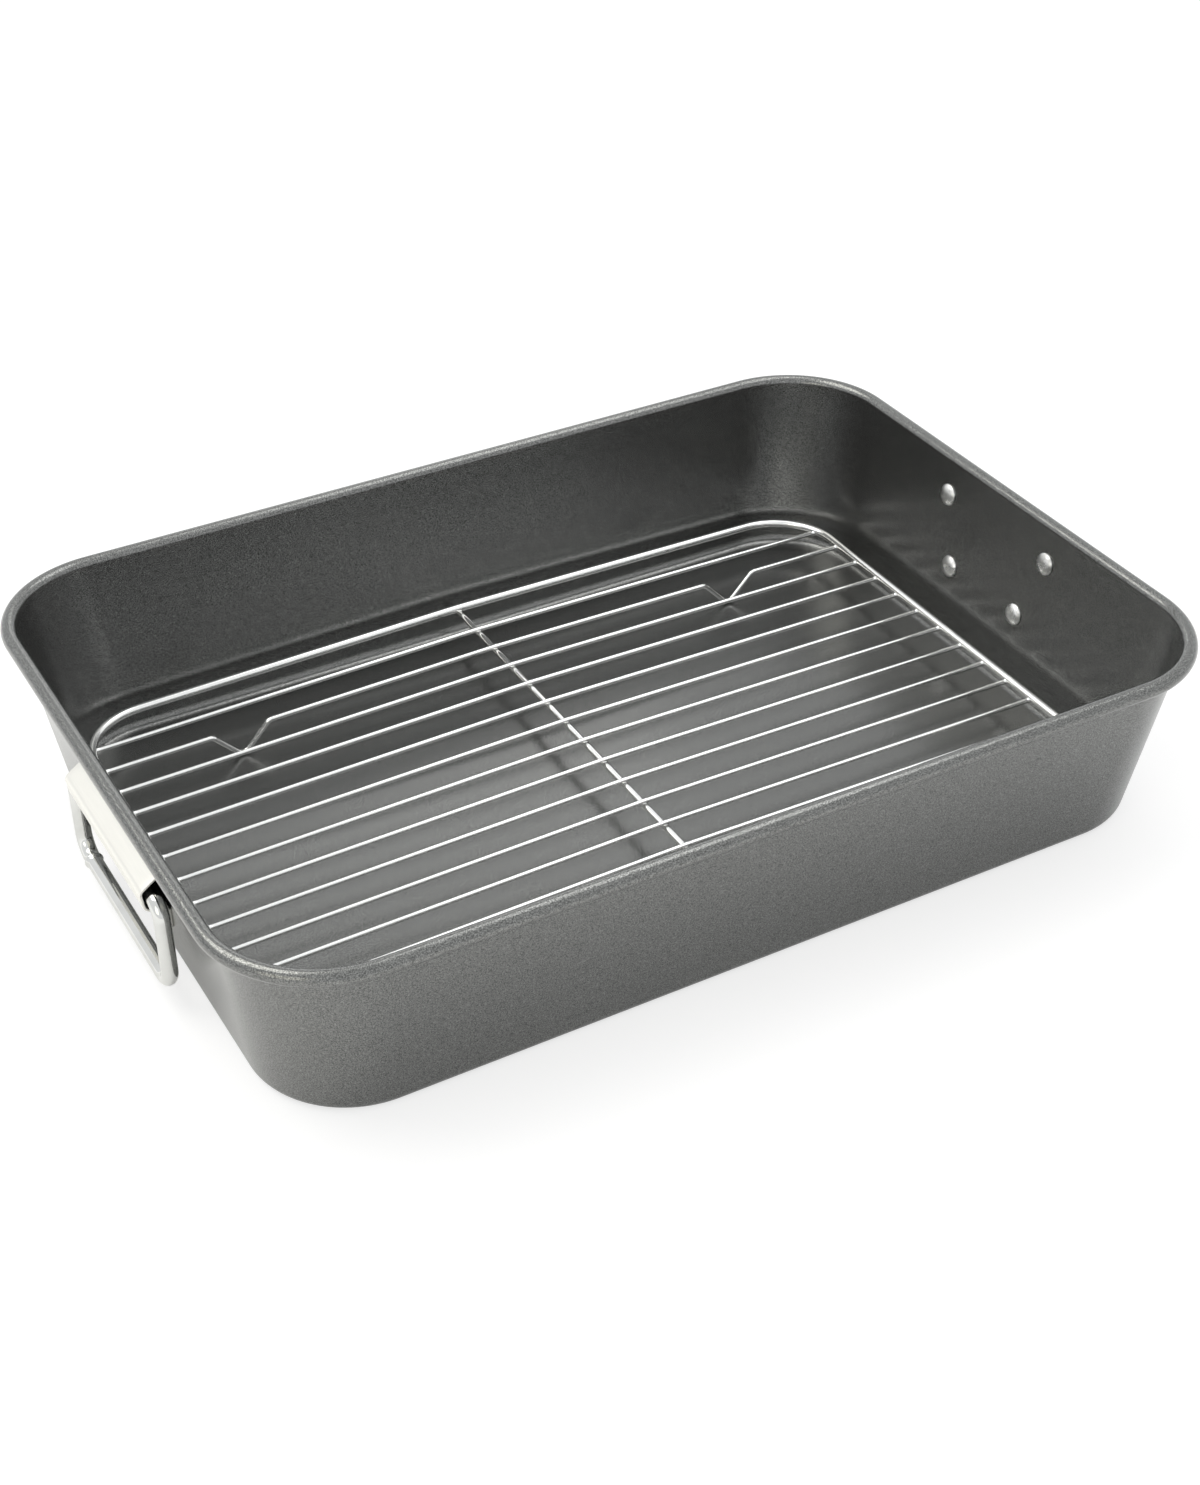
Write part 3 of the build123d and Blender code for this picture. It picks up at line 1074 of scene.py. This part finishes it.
@dataclass(frozen=True)
class Rack:
    """The lift-out rack: a frame wire, fourteen fine wires along it and one wire across."""

    half_length: float = 199.0
    half_width: float = 137.0
    corner: float = 32.0
    corner_steps: int = 16
    frame_radius: float = 2.0
    frame_sides: int = 24
    fine_radius: float = 1.15
    fine_sides: int = 16
    cross_radius: float = 1.6
    cross_sides: int = 20
    fine_count: int = 14
    first_gap: float = 21.0
    crease_underside: float = 16.4
    crease_rise: float = 3.3
    crease_ease: float = 3.0
    crease_reach: float = 9.0
    foot_offset: float = 132.0
    foot_half_spread: float = 14.0
    foot_bend: float = 4.0
    foot_bend_steps: int = 12
    rest_height: float = 1.3
    lap_sink: float = 0.15
    butt_sink: float = 0.35
    butt_weld: tuple[float, float] = (0.42, 1.0)
    butt_rings: tuple[float, ...] = (0.3, 0.6, 0.9, 1.3, 1.8, 2.4, 3.2)
    lap_weld: tuple[float, float] = (0.14, 1.1)
    cross_weld: tuple[float, float] = (0.2, 1.2)
    cross_weld_reach: float = 2.6
    frame_span_rings: int = 9
    frame_crease_rings: int = 13
    fine_rings: int = 25
    cross_weld_rings: int = 11

    def slope_drop(self, x: Array) -> Array:
        """The rack's sag at places along it: slope sqrt(x^2 + e^2), a roof with an eased ridge."""
        return self.crease_rise / self.half_length * np.sqrt(np.square(x) + self.crease_ease**2)

    def settle(self, grid: Array) -> Array:
        """Lowers a flat grid onto the rack's two slopes.

        Args:
            grid: Points of a level rack.

        Returns:
            The same points, sunk.
        """
        sunk = grid.copy()
        sunk[..., 2] -= self.slope_drop(grid[..., 0])
        return sunk

    def over_crease(self, middle: float, rings: int) -> Array:
        """Distances along a wire on both sides of the rack's ridge."""
        return middle + np.linspace(-self.crease_reach, self.crease_reach, rings)

    def frame_grid(self) -> Array:
        """The frame wire, a closed rounded oblong that follows the two slopes.

        Returns:
            The grid of points.
        """
        high = self.crease_underside + self.frame_radius
        signs = np.array([(1, 1), (-1, 1), (-1, -1), (1, -1)], float)
        corners = np.column_stack([signs * (self.half_length, self.half_width), np.full(4, high)])
        route = bent_route(corners, np.full(4, self.corner), True, self.corner_steps)
        extra = []
        for begin, end in zip(route.runs[:-1], route.runs[1:]):
            if end - begin > self.corner:
                extra.append(np.linspace(begin, end, self.frame_span_rings))
                extra.append(self.over_crease((begin + end) / 2, self.frame_crease_rings))
        rings, flat = np.concatenate(extra), (0.0, 0.0, 1.0)
        no_welds = np.empty((0, 3))
        grid = round_wire(route, flat, self.frame_radius, self.frame_sides, rings, no_welds)
        return self.settle(grid[:-1])

    def wire_end(self, across: float) -> float:
        """Where a fine wire ends along X: just inside the frame wire's inner face.

        Args:
            across: The wire's place across the rack.

        Returns:
            The end's distance from the rack's middle.
        """
        past = max(0.0, abs(across) - (self.half_width - self.corner))
        inside = self.half_length - self.corner + math.sqrt(self.corner**2 - past**2)
        lower = self.frame_radius - self.fine_radius
        return inside - math.sqrt(self.frame_radius**2 - lower**2) + self.butt_sink

    def foot_drop(self, depth: float) -> float:
        """How far a foot's sharp corner lies below the wire when its rounded tip is this deep.

        Args:
            depth: How deep the tip of the bent wire lies.

        Returns:
            How deep the corner of its middle line lies.
        """
        spread, rest = self.foot_half_spread, self.foot_bend - depth
        lean = math.asin(self.foot_bend / math.hypot(spread, rest)) - math.atan2(rest, spread)
        return spread * math.tan(lean)

    def fine_route(self, across: float, footed: bool) -> Route:
        """A fine wire's line before it is lowered onto the slopes.

        Args:
            across: The wire's place across the rack.
            footed: Whether it dips to a foot in each half.

        Returns:
            The route, with the feet's bends.
        """
        high, end = self.crease_underside + self.fine_radius, self.wire_end(across)
        if not footed:
            return straight_route((-end, across, high), (end, across, high))
        sunk = float(self.slope_drop(np.array(self.foot_offset)))
        tip = high - self.foot_drop(high - sunk - self.rest_height - self.fine_radius)
        line = [(-end, high)]
        for middle in (-self.foot_offset, self.foot_offset):
            spread = self.foot_half_spread
            line += [(middle - spread, high), (middle, tip), (middle + spread, high)]
        line.append((end, high))
        corners = np.array([(x, across, z) for x, z in line])
        bends = np.full(len(corners) - 2, self.foot_bend)
        return bent_route(corners, bends, False, self.foot_bend_steps)

    def fine_grid(self, across: float, footed: bool) -> Array:
        """One fine wire, straight or dipping to a foot in each half.

        Args:
            across: The wire's place across the rack.
            footed: Whether it has the two feet.

        Returns:
            The grid of points.
        """
        route = self.fine_route(across, footed)
        total = route.runs[-1]
        near = np.array(self.butt_rings)
        ridge = self.over_crease(total / 2, self.fine_rings)
        along = np.linspace(0, total, self.fine_rings)
        rings = np.concatenate([near, total - near, ridge, along])
        ends = [(0.0, *self.butt_weld), (total, *self.butt_weld)]
        swell = np.array([*ends, (total / 2, *self.lap_weld)])
        across_it = (0.0, 1.0, 0.0)
        grid = round_wire(route, across_it, self.fine_radius, self.fine_sides, rings, swell)
        return self.settle(grid)

    def cross_grid(self, places: Array) -> Array:
        """The wire under the ridge, swollen a little where each other wire is welded to it.

        Args:
            places: Where the fine wires lie across the rack.

        Returns:
            The grid of points.
        """
        high = self.crease_underside - self.cross_radius + self.lap_sink
        reach = self.half_width + self.frame_radius
        route = straight_route((0.0, -reach, high), (0.0, reach, high))
        welds = np.concatenate([places, [-self.half_width, self.half_width]]) + reach
        near = np.linspace(-self.cross_weld_reach, self.cross_weld_reach, self.cross_weld_rings)
        rings = (welds[:, None] + near).ravel()
        swell = np.column_stack([welds, np.tile(self.cross_weld, (len(welds), 1))])
        across_it = (1.0, 0.0, 0.0)
        return round_wire(route, across_it, self.cross_radius, self.cross_sides, rings, swell)

    def build(self, chrome: Material) -> None:
        """Makes the frame, the cross wire and the fine wires.

        Args:
            chrome: The rack's finish.
        """
        rim = solid("rack_frame_loop", [self.frame_grid()], True)
        hand_over(rim, chrome, "rack", "rack_chrome", "rack_frame")
        outer = self.half_width - self.first_gap
        places = np.linspace(outer, -outer, self.fine_count)
        bar = solid("rack_cross_bar", [self.cross_grid(places)], False)
        hand_over(bar, chrome, "rack", "rack_chrome", "rack_cross_wire")
        for number, across in enumerate(places.tolist(), start=1):
            grid = self.fine_grid(across, number in (2, self.fine_count - 1))
            wire = solid(f"rack_fine_wire_{number:02d}", [grid], False)
            hand_over(wire, chrome, "rack", "rack_chrome", f"rack_wire_{number:02d}")


# The studio


@dataclass(frozen=True)
class Softbox:
    """One soft light: its place, the point it faces, its width and height, watts and warmth.

    The warmth is the share of its blue that is held back, and a part of that for its green.
    """

    name: str
    place: Place
    aim: Place
    size: tuple[float, float]
    power: float
    warmth: float
    green_part: float = 0.25

    def hang(self) -> None:
        """Puts the light in the scene."""
        data = bpy.data.lights.new(self.name, "AREA")
        data.shape = "RECTANGLE"
        data.size, data.size_y = self.size
        data.energy = self.power
        data.color = (1.0, 1.0 - self.green_part * self.warmth, 1.0 - self.warmth)
        lamp = bpy.data.objects.new(self.name, data)
        bpy.context.scene.collection.objects.link(lamp)
        lamp.location = self.place
        lamp.rotation_mode = "QUATERNION"
        way = Vector(np.array(self.aim) - np.array(self.place))
        lamp.rotation_quaternion = way.to_track_quat("-Z", "Y")


@dataclass(frozen=True)
class Studio:
    """The pale floor, the soft light and the camera of the portrait."""

    eye: Place = (-0.412609, -0.746835, 0.631603)
    yaw: float = 0.50731
    pitch: float = 0.62083
    roll: float = -0.00792
    focal_pixels: float = 2324.49
    frame_height_pixels: float = 1485.0
    sensor: float = 36.0
    clip: tuple[float, float] = (0.05, 50.0)
    surround: Colour = (0.985, 0.995, 1.0)
    ambient: float = 0.82
    ambient_seen: float = 1.0
    floor_reach: float = 9.0
    floor_tone: float = 0.95
    floor_tone_seen: float = 0.4
    floor_lift: float = 0.08
    floor_lift_seen: float = 0.68
    lamps: tuple[Softbox, ...] = (
        Softbox("key_softbox", (-0.7, 0.6, 1.5), (0.0, 0.0, 0.0), (1.2, 1.2), 13.0, 0.08),
        Softbox("top_softbox", (0.55, 0.14, 1.29), (0.0, 0.0, 0.05), (1.0, 0.6), 3.6, 0.02),
        Softbox("back_softbox", (0.36, 1.03, 0.67), (-0.07, 0.02, 0.0), (0.5, 0.25), 0.39, 0.04),
        Softbox("fill_softbox", (-0.86, -0.52, 0.47), (0.19, 0.12, 0.05), (0.5, 0.5), 0.9, 0.2),
    )

    def set_camera(self) -> None:
        """Places the camera: it looks along (sin yaw cos pitch, cos yaw cos pitch, -sin pitch)."""
        cy, sy = math.cos(self.yaw), math.sin(self.yaw)
        cp, sp = math.cos(self.pitch), math.sin(self.pitch)
        ahead, level = np.array([sy * cp, cy * cp, -sp]), np.array([cy, -sy, 0.0])
        upright = np.cross(level, ahead)
        cr, sr = math.cos(self.roll), math.sin(self.roll)
        right, up = cr * level + sr * upright, cr * upright - sr * level
        data = bpy.data.cameras.new("portrait_camera")
        data.sensor_fit = "AUTO"
        data.sensor_width = self.sensor
        data.lens = self.sensor * self.focal_pixels / self.frame_height_pixels
        data.clip_start, data.clip_end = self.clip
        camera = bpy.data.objects.new("portrait_camera", data)
        turn = np.eye(4)
        turn[:3] = np.column_stack([right, up, -ahead, self.eye])
        camera.matrix_world = Matrix(turn.tolist())
        bpy.context.scene.collection.objects.link(camera)
        bpy.context.scene.camera = camera

    @staticmethod
    def seen_rays(tree: NodeTree, path: Node) -> Socket:
        """One for camera, glossy and transmission rays, so metal shows the eye's background.

        Args:
            tree: The node tree it goes into.
            path: Its Light Path node.

        Returns:
            The socket that is one for those rays.
        """
        first, second = tree.nodes.new("ShaderNodeMath"), tree.nodes.new("ShaderNodeMath")
        first.operation = second.operation = "MAXIMUM"
        tree.links.new(path.outputs["Is Camera Ray"], first.inputs[0])
        tree.links.new(path.outputs["Is Glossy Ray"], first.inputs[1])
        tree.links.new(first.outputs[0], second.inputs[0])
        tree.links.new(path.outputs["Is Transmission Ray"], second.inputs[1])
        return second.outputs[0]

    def set_world(self) -> None:
        """A plain pale surround, white where it is seen."""
        world = bpy.data.worlds.new("studio_surround")
        bpy.context.scene.world = world
        world.use_nodes = True
        tree = world.node_tree
        glow = tree.nodes["Background"]
        glow.inputs["Color"].default_value = (*self.surround, 1.0)
        seen = self.seen_rays(tree, tree.nodes.new("ShaderNodeLightPath"))
        strength = ranged(tree, seen, self.ambient, self.ambient_seen)
        tree.links.new(strength.outputs["Result"], glow.inputs["Strength"])

    def floor_paint(self) -> Material:
        """A matt floor that also glows faintly.

        The eye sees a darker paint with more glow, which come to white in the open and keep the
        object's shadow. Glossy and transmission rays see the glow of the open floor.

        Returns:
            The floor's material.
        """
        material = bpy.data.materials.new("studio_floor_paint")
        material.use_nodes = True
        tree = material.node_tree
        tree.nodes.remove(tree.nodes["Principled BSDF"])
        paint, glow = tree.nodes.new("ShaderNodeBsdfDiffuse"), tree.nodes.new("ShaderNodeEmission")
        both, path = tree.nodes.new("ShaderNodeAddShader"), tree.nodes.new("ShaderNodeLightPath")
        eye = path.outputs["Is Camera Ray"]
        tone = ranged(tree, eye, self.floor_tone, self.floor_tone_seen)
        near = ranged(tree, eye, self.floor_lift, self.floor_lift_seen)
        lift = ranged(tree, self.seen_rays(tree, path), 0.0, 1.0)
        tree.links.new(tone.outputs["Result"], paint.inputs["Color"])
        tree.links.new(near.outputs["Result"], lift.inputs["To Max"])
        tree.links.new(lift.outputs["Result"], glow.inputs["Strength"])
        tree.links.new(paint.outputs[0], both.inputs[0])
        tree.links.new(glow.outputs[0], both.inputs[1])
        tree.links.new(both.outputs[0], tree.nodes["Material Output"].inputs["Surface"])
        return material

    def set_floor(self) -> None:
        """A wide pale floor that takes the object's shadow."""
        mesh = bpy.data.meshes.new("studio_floor")
        far = self.floor_reach
        corners = [(-far, -far, 0), (far, -far, 0), (far, far, 0), (-far, far, 0)]
        mesh.from_pydata(corners, [], [(0, 1, 2, 3)])
        mesh.materials.append(self.floor_paint())
        floor = bpy.data.objects.new("studio_floor", mesh)
        bpy.context.scene.collection.objects.link(floor)

    def build(self) -> None:
        """Sets up the whole studio."""
        bpy.context.scene.view_settings.view_transform = "Standard"
        self.set_camera()
        self.set_world()
        self.set_floor()
        for lamp in self.lamps:
            lamp.hang()


def main() -> None:
    """Builds the studio, then the pan, its handles and its rack, and reports each piece."""
    logging.basicConfig(level=logging.INFO, format="%(name)s: %(message)s")
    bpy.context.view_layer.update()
    Studio().build()
    effects = EffectLibrary()
    coating = CoatedSteelFinish().make(effects)
    bail_plating = PlatedWireFinish("bail_chrome", BAIL_TINT, BAIL_HAZE, *BAIL_ROUGHNESS)
    rim_plating = PlatedWireFinish("wire_steel", RIM_WIRE_TINT, RIM_WIRE_HAZE, *RIM_WIRE_ROUGHNESS)
    rack_chrome = PlatedWireFinish("rack_chrome").make(effects)
    bail_chrome, rim_steel = bail_plating.make(effects), rim_plating.make(effects)
    stainless = BrushedSheetFinish().make(effects)
    aluminium = FormedRivetFinish().make(effects)
    Pan().build(coating, rim_steel)
    for end in End:
        Handle().build(end, stainless, bail_chrome, aluminium)
    Rack().build(rack_chrome)


if __name__ == "__main__":
    main()
